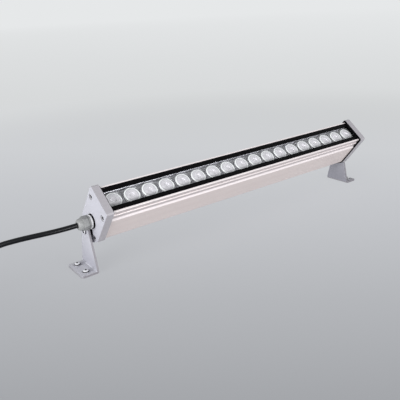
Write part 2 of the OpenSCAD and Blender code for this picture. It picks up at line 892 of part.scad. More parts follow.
module gland_seal() {
    top = gland_length - gland_hole_t * 2;
    color([0.1, 0.1, 0.11])
        lamp()
            gland_turned([
                [cord_r + thread_play, top - gland_seal_t],
                [gland_seal_r - edge_r / 2, top - gland_seal_t],
                [gland_seal_r, top - gland_seal_t / 2],
                [gland_seal_r, top - edge_r],
                [gland_seal_r - edge_r, top],
                [cord_r + thread_play, top]]);
}
module gland_locknut() {
    color([0.66, 0.66, 0.66])
        lamp()
            difference() {
                intersection() {
                    gland_hexagon(-cap_wall_t - locknut_t, -cap_wall_t);
                    gland_turned([
                        [0, -cap_wall_t - locknut_t],
                        [gland_round_r - edge_r, -cap_wall_t - locknut_t],
                        [gland_round_r, -cap_wall_t - locknut_t + edge_r],
                        [gland_round_r, -cap_wall_t],
                        [0, -cap_wall_t]]);
                }
                gland_turned([
                    [0, -cap_wall_t - locknut_t - over],
                    [thread_r + thread_play, -cap_wall_t - locknut_t - over],
                    [thread_r + thread_play, -cap_wall_t + over],
                    [0, -cap_wall_t + over]]);
            }
}

// Bracket: a bent plate with a round top at the pivot and a foot that points outwards
plate_drop = pivot_z - plate_t;
plate_side = acos(plate_top_r / norm([foot_w / 2, plate_drop])) - atan2(plate_drop, foot_w / 2);
module bracket_front() {
    union() {
        translate([0, pivot_z])
            circle(r = plate_top_r, $fn = 96);
        polygon([
            [-foot_w / 2, plate_t],
            [foot_w / 2, plate_t],
            [plate_top_r * cos(plate_side), pivot_z + plate_top_r * sin(plate_side)],
            [-plate_top_r * cos(plate_side), pivot_z + plate_top_r * sin(plate_side)]]);
        translate([-foot_w / 2, 0])
            square([foot_w, plate_t]);
    }
}
module bracket_profile() {
    outer_r = bend_inner_r + plate_t;
    top = pivot_z + plate_top_r + over;
    polygon(concat(
        [[-foot_end_x, plate_t], [-foot_end_x, 0]],
        [for (k = [0 : 8])
            [-plate_inner_x - outer_r + outer_r * sin(90 * k / 8), outer_r - outer_r * cos(90 * k / 8)]],
        [[-plate_inner_x, top], [-plate_outer_x, top]],
        [for (k = [0 : 8])
            [-plate_outer_x - bend_inner_r + bend_inner_r * cos(90 * k / 8),
             outer_r - bend_inner_r * sin(90 * k / 8)]]));
}
module bracket_plan() {
    far = -foot_end_x;
    near = -plate_inner_x;
    polygon(rounded([
        [far, -foot_w / 2],
        [near, -foot_w / 2],
        [near, foot_w / 2],
        [far, foot_w / 2]],
        [foot_corner_r, 0, 0, foot_corner_r], 6));
}
module bracket() {
    color([0.80, 0.80, 0.84])
        difference() {
            intersection() {
                rotate([90, 0, 0])
                    translate([0, 0, -foot_w / 2])
                        linear_extrude(foot_w)
                            bracket_profile();
                run(-foot_end_x, -plate_inner_x)
                    bracket_front();
                linear_extrude(pivot_z + plate_top_r + over)
                    bracket_plan();
            }
            for (side = [-1, 1])
                translate([-foot_hole_x, side * foot_hole_spacing / 2, -over])
                    cylinder(h = plate_t + over * 2, r = foot_hole_d / 2, $fn = 48);
            bar(-plate_outer_x - over, -plate_inner_x + over, 0, pivot_z, pivot_d / 2 + pivot_play);
        }
}
// Black friction washer between the cap and the bracket
module pivot_spacer() {
    color([0.05, 0.05, 0.055])
        difference() {
            bar(-plate_inner_x, -cap_outer_x, 0, pivot_z, spacer_r);
            bar(-plate_inner_x - over, -cap_outer_x + over, 0, pivot_z, pivot_d / 2 + fit_play);
        }
}
module pivot_bolt() {
    head_x = -plate_outer_x;
    color([0.7, 0.7, 0.73])
        difference() {
            union() {
                translate([head_x, 0, pivot_z])
                    rotate([0, -90, 0])
                        rotate_extrude($fn = 48)
                            polygon(concat(
                                [[0, 0]],
                                [[pivot_head_r, 0]],
                                [for (k = [0 : 6])
                                    [pivot_head_r * (1 - pow(k / 6, 2) / 3),
                                     pivot_head_t * (1 / 3 + k / 6 * 2 / 3)]],
                                [[0, pivot_head_t]]));
                bar(head_x - edge_r, -cap_outer_x + pivot_bite, 0, pivot_z, pivot_d / 2);
            }
            hex_bar(head_x - pivot_head_t - over, head_x - pivot_head_t + pivot_socket_t, 0, pivot_z,
                    pivot_socket_af);
        }
}

// Rubber lead: the stretch in the gland, the free stretch, the coil, and the stripped cores
module lead_inner() {
    color([0.06, 0.06, 0.065])
        lamp()
            bar(-gland_end_x, jacket_end_x, 0, gland_s, cord_r);
}
lead_path = concat(
    [lead_exit, lead_exit - [cord_d, 0, 0]],
    route,
    [coil_start + [cord_d, 0, 0], coil_start]);
module lead() {
    color([0.06, 0.06, 0.065])
        sweep(lead_path, cord_r, cord_sides);
}
// The coil spirals in on the upper layer, climbs down in half a turn and spirals out on the floor
function coil_point(turns) =
    let (middle = coil_turns / 2,
         out = abs(turns - middle),
         r = coil_r - (middle - out) * loop_step,
         drop = max(0, min(1, (turns - middle) * 2 + 0.5)),
         ease = drop * drop * (3 - 2 * drop),
         angle = 90 + 360 * turns)
    [coil_x + r * cos(angle), coil_y + r * sin(angle), cord_r + loop_step * (1 - ease)];
coil_steps = round(coil_turns * coil_rings);
coil_end = coil_point(coil_turns);
tail_end = coil_end - [0, tail_length, 0];
coil_path = concat(
    [coil_start],
    [for (k = [0 : coil_steps]) coil_point(coil_turns * k / coil_steps)],
    [coil_end - [0, cord_d, 0], tail_end]);
module lead_coil() {
    color([0.06, 0.06, 0.065])
        sweep(coil_path, cord_r, coil_sides);
}
module lead_cores() {
    for (k = [0 : 2])
        color([[0.45, 0.6, 0.15], [0.45, 0.26, 0.14], [0.16, 0.3, 0.62]][k])
            translate(tail_end + [core_start(k)[0], 0, core_start(k)[1]])
                rotate([90, 0, 0])
                    cylinder(h = core_bare, r = core_r, $fn = 24);
}
module core_ferrules() {
    for (k = [0 : 2])
        color([0.78, 0.79, 0.82])
            translate(tail_end + [core_start(k)[0], -core_bare, core_start(k)[1]])
                rotate([90, 0, 0])
                    rotate_extrude($fn = 24)
                        polygon([
                            [0, 0],
                            [ferrule_collar_r, 0],
                            [ferrule_r, ferrule_collar_t],
                            [ferrule_r, ferrule_length],
                            [0, ferrule_length]]);
}
// Least clear distance between two stretches of the coil that lie a quarter turn or more apart
coil_gap = min([
    for (i = [0 : len(coil_path) - 1], j = [i + coil_rings / 4 : 1 : len(coil_path) - 1])
        norm(coil_path[i] - coil_path[j])]) - cord_d;
echo(coil_gap = coil_gap);
echo(lead_length = path_length(lead_path) + path_length(coil_path));
echo(lead_exit = lead_exit, coil_start = coil_start, tail_end = tail_end);

housing();
window_glass();
seal_strip(-1);  // seal_strip_front
seal_strip(1);  // seal_strip_back
led_board();
led_emitters();
lens_holders();
board_screws();
for (i = [0 : lens_count - 1])
    lens(i);
driver_case();
driver_pad();
driver_screws();
input_cores();
earth_core();
output_wires();
earth_tag();
earth_screw();
end_cap(true);  // end_cap_cable_end
other_end() end_cap(false);  // end_cap_blind_end
gasket(gasket_inset_cable_end);  // gasket_cable_end
other_end() gasket(gasket_inset_blind_end);  // gasket_blind_end
cap_screws();  // cap_screws_cable_end
other_end() cap_screws();  // cap_screws_blind_end
gland_washer();
gland_body();
gland_nut();
gland_seal();
gland_locknut();
bracket();  // bracket_cable_end
other_end() bracket();  // bracket_blind_end
pivot_spacer();  // pivot_spacer_cable_end
other_end() pivot_spacer();  // pivot_spacer_blind_end
pivot_bolt();  // pivot_bolt_cable_end
other_end() pivot_bolt();  // pivot_bolt_blind_end
lead_inner();
lead();
lead_coil();
lead_cores();
core_ferrules();
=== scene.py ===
# Linear outdoor wall washer: an aluminium profile lamp, tilted between two foot brackets.
import json
import math

import bpy
from mathutils import Matrix, Vector


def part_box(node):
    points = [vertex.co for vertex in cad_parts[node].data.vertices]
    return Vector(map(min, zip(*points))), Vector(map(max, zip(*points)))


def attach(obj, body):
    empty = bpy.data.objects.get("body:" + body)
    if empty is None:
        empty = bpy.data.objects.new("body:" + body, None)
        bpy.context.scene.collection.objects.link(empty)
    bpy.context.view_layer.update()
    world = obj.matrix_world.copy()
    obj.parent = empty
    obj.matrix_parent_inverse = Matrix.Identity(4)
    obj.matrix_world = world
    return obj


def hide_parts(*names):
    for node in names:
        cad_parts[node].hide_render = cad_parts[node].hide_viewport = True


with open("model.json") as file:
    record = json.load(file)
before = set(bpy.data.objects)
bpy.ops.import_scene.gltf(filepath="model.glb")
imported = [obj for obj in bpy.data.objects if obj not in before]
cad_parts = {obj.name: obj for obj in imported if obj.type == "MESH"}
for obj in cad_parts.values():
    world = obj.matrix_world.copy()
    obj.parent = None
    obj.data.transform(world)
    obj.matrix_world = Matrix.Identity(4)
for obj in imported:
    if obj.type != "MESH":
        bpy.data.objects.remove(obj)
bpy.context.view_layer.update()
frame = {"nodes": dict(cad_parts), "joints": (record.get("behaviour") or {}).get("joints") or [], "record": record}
nodes = frame["nodes"]

# Camera
# It stands to the left of the lamp and above it, and looks along the row of lenses. It is turned a
# little about its line of sight.
camera = bpy.data.objects.new("camera", bpy.data.cameras.new("camera"))
bpy.context.collection.objects.link(camera)
bpy.context.scene.camera = camera
camera.data.sensor_width = 36
camera.data.lens = 46.66
eye = Vector((-0.52261, -0.62742, 0.34457))
right = Vector((0.79889, -0.59938, -0.05002))
down = Vector((-0.25164, -0.25755, -0.93291))
ahead = Vector((0.54629, 0.75789, -0.35659))
camera.matrix_world = Matrix.Translation(eye) @ Matrix((right, -down, -ahead)).transposed().to_4x4()


# Studio
# A sheet of plain paper as the floor, which runs on to a pale wall, and two large soft lamps to the
# left and in front. The paper glows with a painted gradient of light and shade, lightest at the back and greyer
# towards the front; near the middle a small share of it is lit by the lamps and keeps the object's shadow.
class Value:
    """A socket of a shader node. Arithmetic on it adds Math nodes."""

    def __init__(self, owner, socket):
        self.owner = owner
        self.socket = socket

    def _math(self, operation, *operands):
        inputs = dict(enumerate(operands))
        return self.owner.node("ShaderNodeMath", {"operation": operation}, inputs)

    def __add__(self, other):
        return self._math("ADD", self, other)

    __radd__ = __add__

    def __sub__(self, other):
        return self._math("SUBTRACT", self, other)

    def __rsub__(self, other):
        return self._math("SUBTRACT", other, self)

    def __mul__(self, other):
        return self._math("MULTIPLY", self, other)

    __rmul__ = __mul__

    def __truediv__(self, other):
        return self._math("DIVIDE", self, other)

    def __rtruediv__(self, other):
        return self._math("DIVIDE", other, self)

    def __abs__(self):
        return self._math("ABSOLUTE", self)

    def power(self, other):
        return self._math("POWER", self, other)

    def sine(self):
        return self._math("SINE", self)

    def fraction(self):
        return self._math("FRACT", self)

    def angle_over(self, other):
        """The angle whose tangent is this over the other, all the way round."""
        return self._math("ARCTAN2", self, other)

    def at_most(self, other):
        return self._math("MINIMUM", self, other)

    def at_least(self, other):
        return self._math("MAXIMUM", self, other)

    def step(self, low, high):
        """0 below low, 1 above high, and a smooth rise between them."""
        inputs = {"Value": self, "From Min": low, "From Max": high}
        return self.owner.node("ShaderNodeMapRange", {"interpolation_type": "SMOOTHSTEP"}, inputs)

    def part(self, index):
        """One number of a vector: 0 for x, 1 for y and 2 for z."""
        return self.owner.node("ShaderNodeSeparateXYZ", {}, {0: self}, out=index)


class Nodes:
    """The shader nodes of a material or of the room."""

    def __init__(self, owner):
        owner.use_nodes = True
        self.tree = owner.node_tree
        self.tree.nodes.clear()

    def node(self, kind, settings=None, inputs=None, out=0):
        """Adds a node with its settings and the values or links of its sockets."""
        made = self.tree.nodes.new(kind)
        for name, value in (settings or {}).items():
            if name == "stops":
                self._set_stops(made.color_ramp.elements, value)
            else:
                setattr(made, name, value)
        for name, value in (inputs or {}).items():
            self.join(made.inputs[name], value)
        return Value(self, made.outputs[out])

    def _set_stops(self, stops, tones):
        """The stops of a new ramp, which has two, from pairs of a position and its shown colour."""
        for position, shown in tones[1:-1]:
            stops.new(position)
        for stop, (position, shown) in zip(stops, tones):
            stop.position = position
            stop.color = colour(*shown)

    def join(self, socket, value):
        if isinstance(value, Value):
            self.tree.links.new(value.socket, socket)
        else:
            socket.default_value = value


class Finish(Nodes):
    """A node material. A piece takes it with put."""

    def __init__(self, name, shader="ShaderNodeBsdfPrincipled", **plain):
        self.material = bpy.data.materials.new(name)
        super().__init__(self.material)
        output = self.tree.nodes.new("ShaderNodeOutputMaterial")
        self.shader = self.tree.nodes.new(shader)
        self.tree.links.new(self.shader.outputs[0], output.inputs[0])
        for socket, value in plain.items():
            self.set(socket.replace("_", " "), value)
        self.place = self.node("ShaderNodeTexCoord", out="Object")

    def set(self, name, value):
        self.join(self.shader.inputs[name], value)

    def stretched(self, *scale):
        """The place, scaled along each axis, for a pattern that is drawn out."""
        return self.node("ShaderNodeMapping", {}, {"Vector": self.place, "Scale": scale})

    def noise(self, scale, detail=3.0, vector=None):
        inputs = {"Vector": vector or self.place, "Scale": scale, "Detail": detail}
        return self.node("ShaderNodeTexNoise", {}, inputs)

    def blend(self, share, low, high):
        inputs = {"Factor": share, 6: low, 7: high}
        return self.node("ShaderNodeMix", {"data_type": "RGBA"}, inputs, out=2)

    def between(self, share, low, high):
        """A colour between two shown ones, by a value, or by a noise when its scale is given."""
        if not isinstance(share, Value):
            share = self.noise(share)
        return self.blend(share, colour(*low), colour(*high))

    def bump(self, height, distance, strength=1.0):
        inputs = {"Height": height, "Distance": distance, "Strength": strength}
        self.set("Normal", self.node("ShaderNodeBump", {}, inputs))

    def grain(self, scale, distance, strength=1.0):
        """A fine even relief over the whole surface."""
        self.bump(self.noise(scale, 2), distance, strength)

    def put(self, *pieces):
        """Gives the material to new pieces, and to CAD nodes by their names."""
        for piece in pieces:
            mesh = (nodes[piece] if isinstance(piece, str) else piece).data
            mesh.materials.clear()
            mesh.materials.append(self.material)


def colour(*shown):
    """A colour from its red, green and blue in a picture, from 0 to 255."""
    return tuple(((c / 255 + 0.055) / 1.055) ** 2.4 if c > 10 else c / 3294.6 for c in shown) + (1.0,)


floor_size = 60
floor_level = -0.0003
bpy.ops.object.select_all(action="DESELECT")
bpy.ops.mesh.primitive_plane_add(size=floor_size, location=(0, 0, floor_level))
floor = bpy.context.object
floor.name = "floor"
bpy.ops.object.transform_apply(location=True)
sweep = Finish("floor_paper", "ShaderNodeMixShader")
east = sweep.place.part(0)
north = sweep.place.part(1)
from_middle_squared = east.power(2) + north.power(2)


def sloping(east_share, north_share, start):
    """A number that grows evenly over the paper, from its start at the middle."""
    return east * east_share + north * north_share + start


reach = sloping(0.5463, 0.7579, 0.884)
depth = reach.at_least(0.45)
forward = sloping(-0.2516, -0.2576, 0.0286) / depth
aside = abs(sloping(0.7989, -0.5994, 0.0587) / depth)
wall_shown = (230, 232, 233)
middle_grey = colour(208, 210, 213)
tones = [
    (0.0, wall_shown),
    (0.15, (220, 222, 223)),
    (0.25, (215, 217, 218)),
    (0.375, (213, 215, 218)),
    (0.5, (202, 204, 208)),
    (0.75, (183, 185, 189)),
    (1.0, (166, 168, 172)),
]
# Painted light on the paper: a glowing gradient from light at the back to grey at the front.
paper = sweep.node("ShaderNodeValToRGB", {"stops": tones}, {"Fac": forward * 1.296 + 0.5})
paper = sweep.blend(aside.step(0.45, 1.6), paper, middle_grey)
paper = sweep.blend(reach.step(-0.2, 0.47), middle_grey, paper)
paper = sweep.blend(from_middle_squared.step(36, 200), paper, colour(*wall_shown))
shadow_share = 0.16
shaded = (1 - from_middle_squared.step(0.5, 2.0)) * shadow_share
glow = sweep.node("ShaderNodeEmission", {}, {"Color": paper})
matt = sweep.node("ShaderNodeBsdfDiffuse", {}, {"Color": paper})
sweep.set(0, sweep.node("ShaderNodeLightPath", out="Is Diffuse Ray"))
sweep.set(1, sweep.node("ShaderNodeMixShader", {}, {0: shaded, 1: glow, 2: matt}))
sweep.set(2, matt)
sweep.put(floor)

world = bpy.data.worlds.new("room")
bpy.context.scene.world = world
room = Nodes(world)
soft_light = {"Color": (0.80, 0.81, 0.83, 1), "Strength": 0.42}
seen_ray = room.node("ShaderNodeLightPath", out="Is Camera Ray")
for kind in ("Is Glossy Ray", "Is Transmission Ray"):
    seen_ray = seen_ray.at_least(room.node("ShaderNodeLightPath", out=kind))
room_sides = {
    0: seen_ray,
    1: room.node("ShaderNodeBackground", {}, soft_light),
    2: room.node("ShaderNodeBackground", {}, {"Color": colour(*wall_shown)}),
}
room_end = room.tree.nodes.new("ShaderNodeOutputWorld")
room.join(room_end.inputs[0], room.node("ShaderNodeMixShader", {}, room_sides))

lamp_aim = Vector((0, 0, 0.06))
lamps = [
    ("key", (-1.7, -0.4, 0.42), 1.2, 0.66, 34.0),
    ("front", (0.3, -1.9, 0.3), 1.3, 0.48, 28.5),
]
for name, place, width, height, power in lamps:
    lamp = bpy.data.objects.new(name, bpy.data.lights.new(name, "AREA"))
    bpy.context.collection.objects.link(lamp)
    lamp.data.shape = "RECTANGLE"
    lamp.data.size = width
    lamp.data.size_y = height
    lamp.data.energy = power
    lamp.location = place
    lamp.rotation_euler = (lamp_aim - Vector(place)).to_track_quat("-Z", "Y").to_euler()
bpy.context.scene.view_settings.view_transform = "Standard"

# Lead
# Round rubber-sheathed flex, 7 mm thick and one metre long, held by the gland. It sinks to the ground and
# is put away there in a tied flat coil of two layers, with three stripped cores at its end.
cord_d = 0.007
cord_r = cord_d / 2
exit_point = Vector((-0.284, -0.0135446, 0.0743362))
route = [
    (-0.300, -0.0132, 0.0743),
    (-0.316, -0.0112, 0.0741),
    (-0.332, -0.0076, 0.0737),
    (-0.348, -0.0028, 0.0729),
    (-0.364, 0.0030, 0.0713),
    (-0.380, 0.0096, 0.0684),
    (-0.395, 0.0154, 0.0632),
    (-0.408, 0.0198, 0.0556),
    (-0.420, 0.0230, 0.0466),
    (-0.432, 0.0254, 0.0372),
    (-0.445, 0.0270, 0.0282),
    (-0.460, 0.0278, 0.0200),
    (-0.476, 0.0276, 0.0142),
]
coil_middle = Vector((-0.505, -0.017, 0))
coil_r = 0.044
coil_turns = 3.25
loop_step = 0.0076
steps_per_turn = 24
onwards = Vector((cord_d, 0, 0))
coil_start = coil_middle + Vector((cord_d, coil_r, cord_r + loop_step))
lead_points = [exit_point, exit_point - onwards]
lead_points += [Vector(point) for point in route]
lead_points += [coil_start + onwards, coil_start]
coil_steps = round(coil_turns * steps_per_turn)
for step in range(coil_steps + 1):
    turns = coil_turns * step / coil_steps
    past_half = turns - coil_turns / 2
    loop_r = coil_r - (coil_turns / 2 - abs(past_half)) * loop_step
    drop = max(0.0, min(1.0, past_half * 2 + 0.5))
    ease = drop * drop * (3 - 2 * drop)
    height = cord_r + loop_step * (1 - ease)
    angle = math.tau * (0.25 + turns)
    lead_points.append(coil_middle + Vector((loop_r * math.cos(angle), loop_r * math.sin(angle), height)))
coil_end = lead_points[-1]
lead_points += [coil_end - Vector((0, cord_d, 0)), coil_end - Vector((0, cord_d * 2, 0))]
lead_curve = bpy.data.curves.new("lead_flex", "CURVE")
lead_curve.dimensions = "3D"
lead_curve.resolution_u = 4
lead_curve.bevel_depth = 1.0
lead_curve.bevel_resolution = 5
lead_curve.use_fill_caps = True
line = lead_curve.splines.new("BEZIER")
line.bezier_points.add(len(lead_points) - 1)
for knot, point in zip(line.bezier_points, lead_points):
    knot.co = point
    knot.handle_left_type = knot.handle_right_type = "AUTO"
    knot.radius = cord_r
lead = bpy.data.objects.new("lead_flex", lead_curve)
bpy.context.collection.objects.link(lead)
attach(lead, "luminaire")
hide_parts("lead", "lead_coil")


def modify(piece, kind, **settings):
    """Works a modifier into the mesh of a piece, which is the active one."""
    bpy.ops.object.modifier_add(type=kind)
    modifier = piece.modifiers[0]
    for name, value in settings.items():
        setattr(modifier, name, value)
    bpy.ops.object.modifier_apply(modifier=modifier.name)


tie_r = 0.00865
tie_w = 0.009
tie_t = 0.0009
tie_flatness = 0.9
bpy.ops.object.select_all(action="DESELECT")
bpy.ops.mesh.primitive_cylinder_add(
    vertices=64, radius=tie_r, depth=tie_w, end_fill_type="NOTHING", rotation=(0, math.pi / 2, 0)
)
tie = bpy.context.object
tie.name = "lead_tie"
bpy.ops.object.transform_apply(location=False, rotation=True)
tie.scale = (1, 1, tie_flatness)
tie.location = coil_middle + Vector((0, -0.0369, 0.00785))
bpy.ops.object.transform_apply(location=True, scale=True)
modify(tie, "SOLIDIFY", thickness=tie_t, offset=-1)
modify(tie, "BEVEL", width=0.0002, segments=2)
bpy.ops.object.shade_smooth_by_angle(angle=math.radians(40))
hooks = Finish("tie_fabric", Roughness=0.9)
weave = hooks.noise(1, 1, hooks.stretched(900, 2400, 2400))
hooks.set("Base Color", hooks.between(weave, (14, 14, 17), (44, 44, 50)))
hooks.bump(weave, 0.0002)
hooks.put(tie)
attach(tie, "luminaire")
sheath = Finish("lead_sheath", Roughness=0.3, Specular_IOR_Level=0.2)
sheath.set("Base Color", sheath.between(sheath.noise(900, 2), (4, 5, 8), (10, 11, 15)))
sheath.grain(2600, 0.00006)
sheath.put(lead, "lead_inner")

# Housing
# Extruded aluminium profile, matt anodised, with fine lines along it from the die. Its shoulder, rib and
# lip are painted bright as highlights, its grooves are painted darker as shade, and its lens chamber is painted
# light on its floor and dark on its walls as light and shade. It hangs tilted between its two pivot bolts.
tilt = math.radians(38)
pivot_level = frame["joints"][0]["pos_m"][2]
pivot_height = 0.016


def in_section(finish):
    """The place across the tilted profile, and its height over the profile's flat bottom."""
    back = finish.place.part(1)
    over_pivot = finish.place.part(2) - pivot_level
    across = back * math.cos(tilt) + over_pivot * math.sin(tilt)
    high = over_pivot * math.cos(tilt) - back * math.sin(tilt) + pivot_height
    return across, high


profile = Finish("anodised_profile", Metallic=0.35)
across, high = in_section(profile)
drawn = profile.noise(1, 3, profile.stretched(2.2, 900, 900))
cloudy = profile.noise(1, 2, profile.stretched(5, 120, 120))
shoulder = high.step(0.0622, 0.0634) - high.step(0.0662, 0.0672)
lower_groove = high.step(0.0662, 0.0668) - high.step(0.0722, 0.0728)
rib = high.step(0.0722, 0.073) - high.step(0.0744, 0.0752)
upper_groove = high.step(0.0746, 0.0752) - high.step(0.0819, 0.0822)
lip = high.step(0.0821, 0.0826)
skin = profile.between(drawn * 0.4 + cloudy * 0.6, (207, 196, 194), (224, 213, 210))
# Painted shade: the grooves between the shoulder, rib and lip are painted darker.
skin = profile.blend(lower_groove + upper_groove, skin, colour(196, 187, 187))
# Painted highlight: the shoulder, rib and lip are painted near white.
skin = profile.blend((shoulder + rib + lip) * 0.5, skin, colour(250, 244, 247))
to_wall = abs(across)
# Painted light and shade inside the lens chamber: its floor is painted light and its walls dark grey.
lens_chamber = high.step(0.064, 0.0648) * (1 - high.step(0.0815, 0.0825))
lens_chamber = lens_chamber * (1 - to_wall.step(0.0194, 0.0198))
chamber_light_and_shade = profile.between(to_wall.step(0.0165, 0.0168), (238, 236, 242), (204, 203, 210))
chamber_light_and_shade = profile.blend(high.step(0.0672, 0.069), chamber_light_and_shade, colour(142, 141, 148))
profile.set("Base Color", profile.blend(lens_chamber, skin, chamber_light_and_shade))
profile.set("Roughness", drawn * 0.16 + 0.34)
profile.bump(drawn, 0.00008, 0.6)
profile.put("housing")

# Window
# Toughened glass pane, bedded on the ledges of the housing. An extruded black elastomer strip lies on each
# of its long edges and closes the gap to the housing.
pane = Finish("window_pane", "ShaderNodeMixShader")
glass = {
    "Base Color": (0.985, 0.99, 0.988, 1),
    "Transmission Weight": 1.0,
    "IOR": 1.48,
    "Roughness": pane.noise(70, 4) * 0.02 + 0.01,
}
shadow_ray = pane.node("ShaderNodeLightPath", out="Is Shadow Ray")
diffuse_ray = pane.node("ShaderNodeLightPath", out="Is Diffuse Ray")
pane.set(0, (shadow_ray + diffuse_ray).at_most(1.0))
pane.set(1, pane.node("ShaderNodeBsdfPrincipled", {}, glass))
pane.set(2, pane.node("ShaderNodeBsdfTransparent", {}, {"Color": (0.93, 0.94, 0.94, 1)}))
pane.put("window_glass")
strip = Finish("black_strip", Roughness=0.5, Specular_IOR_Level=0.05)
strip.set("Base Color", strip.between(300, (1, 1, 2), (5, 4, 6)))
strip.put("seal_strip_front", "seal_strip_back")

# Light board
# Aluminium board with white solder mask, screwed to the platform of the housing. A yellow emitter is
# soldered under each lens, in a white moulded holder whose pegs sit in the board.
mask = Finish("board_mask", Roughness=0.45)
mask.set("Base Color", mask.between(60, (240, 239, 244), (248, 247, 250)))
mask.put("led_board")
holder = Finish("holder_plastic", Roughness=0.5)
holder.set("Base Color", holder.between(400, (238, 237, 242), (247, 246, 250)))
holder.put("lens_holders")
phosphor = Finish("phosphor", Roughness=0.35)
phosphor.set("Base Color", phosphor.between(900, (226, 206, 96), (240, 222, 120)))
phosphor.put("led_emitters")

# Lenses
# Eighteen clear moulded optics in one row, each a cone with a flat rim, pressed into its holder. The rim
# is painted white as a highlight, the fluted cone below it a mottled grey, and a ring of painted shade parts them.
lens_count = 18
row_length = 0.4766
lens_pitch = row_length / (lens_count - 1)
optic = Finish("clear_optic", Roughness=0.16, IOR=1.49)
along = optic.place.part(0)
across = in_section(optic)[0]
from_axis = (((along + row_length / 2) / lens_pitch + 0.5).fraction() - 0.5) * lens_pitch
off_axis = (from_axis * from_axis + across * across).power(0.5)
# Painted highlight: the rim is painted near white. Painted shade: a darker ring is painted just inside it.
rim = off_axis.step(0.0094, 0.01)
ring = (off_axis.step(0.0082, 0.009) - rim) * 0.45
flutes = {0: across.angle_over(from_axis) * 2.6, 1: off_axis * 220, 2: along * 9}
facets = optic.noise(1, 1, optic.node("ShaderNodeCombineXYZ", {}, flutes))
cone = optic.between(facets.step(0.2, 0.8), (208, 204, 210), (228, 224, 230))
cone = optic.blend(ring, cone, colour(160, 158, 168))
optic.set("Base Color", optic.blend(rim, cone, colour(253, 253, 254)))
for number in range(1, lens_count + 1):
    optic.put(f"lens_{number:02d}")

# End caps
# Milled aluminium plates, powder coated light grey, screwed to the ends of the profile over black rubber
# gaskets. Their sides are painted darker as shade, with streaks along them, and each cap is painted darker
# towards its bottom as shade. The gland's seals and the pivot spacers are of the same rubber.
cap_face = abs(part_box("end_cap_cable_end")[0].x)
coat = Finish("cap_coat", Roughness=0.5)
coated = coat.between(35, (167, 167, 174), (174, 174, 182))
# Painted shade: the cap is painted darker towards its bottom.
coated = coat.blend(coat.place.part(2).step(0.0, 0.085), colour(137, 136, 144), coated)
# Painted shade: the sides of the cap, off its outer face, are painted darker, with streaks along them.
sides_painted_shade = coat.between(coat.noise(1, 2, coat.stretched(60, 900, 900)), (154, 151, 156), (166, 163, 168))
on_face = abs(coat.place.part(0)).step(cap_face - 0.0004, cap_face - 0.0001)
coat.set("Base Color", coat.blend(on_face, sides_painted_shade, coated))
coat.grain(1400, 0.00005, 0.5)
coat.put("end_cap_cable_end", "end_cap_blind_end")
rubber = Finish("seal_rubber", Roughness=0.6, Specular_IOR_Level=0.05)
rubber.set("Base Color", rubber.between(500, (3, 3, 4), (8, 8, 10)))
rubber.grain(2500, 0.00004)
rubber.put("gasket_cable_end", "gasket_blind_end", "gland_washer", "gland_seal")
rubber.put("pivot_spacer_cable_end", "pivot_spacer_blind_end")

# Screws
# Stainless socket screws in the caps and at the pivots, turned, with their sockets painted black as shade
# and a ring of painted shade round each head. Pan-head screws hold the board and the driver, and a brass one
# holds the earth tag.
steel = Finish("stainless", Metallic=0.9)
brushed = steel.noise(1500)
steel.set("Base Color", steel.between(brushed, (205, 205, 208), (226, 226, 229)))
steel.set("Roughness", brushed * 0.16 + 0.22)
steel.put("board_screws", "driver_screws")
screw_places = [(0.018, 0.0703), (0.016, 0.0185), (0.0, pivot_height)]
socket_head = Finish("socket_head", Metallic=0.35)
across, high = in_section(socket_head)
nearest = 1.0
for screw_across, screw_height in screw_places:
    gap_squared = abs(abs(across) - screw_across).power(2) + abs(high - screw_height).power(2)
    nearest = gap_squared.at_most(nearest)
off_axis = nearest.power(0.5)
turned = (off_axis * 24000).sine() * 0.5 + 0.5
metal = socket_head.between(turned, (206, 206, 211), (230, 230, 235))
# Painted shade: a darker ring is painted round the edge of each head.
metal = socket_head.blend(off_axis.step(0.0036, 0.0039), metal, colour(96, 94, 100))
# Painted shade: the socket is painted black.
metal = socket_head.blend(off_axis.step(0.0025, 0.0027), colour(8, 8, 11), metal)
socket_head.set("Base Color", metal)
socket_head.set("Roughness", socket_head.noise(2200) * 0.2 + 0.3)
for end in ("cable_end", "blind_end"):
    socket_head.put(f"cap_screws_{end}", f"pivot_bolt_{end}")
brass = Finish("brass", Metallic=1.0, Roughness=0.3)
brass.set("Base Color", brass.between(700, (204, 172, 96), (222, 190, 112)))
brass.put("earth_screw")

# Gland
# Moulded polyamide cable gland in light grey, with a painted highlight on the collar at its foot. The body is
# screwed into the cap against a locknut, and the domed nut clamps the lead.
collar_end = 0.2668
nylon = Finish("gland_nylon")
moulded = nylon.between(120, (126, 127, 127), (136, 137, 137))
past_collar_highlight = abs(nylon.place.part(0)).step(collar_end, collar_end + 0.0004)
# Painted highlight: the collar next to the cap is painted near white.
nylon.set("Base Color", nylon.blend(past_collar_highlight, colour(212, 212, 214), moulded))
nylon.set("Roughness", nylon.noise(60) * 0.12 + 0.46)
nylon.grain(1800, 0.00003)
nylon.put("gland_body", "gland_nut", "gland_locknut")

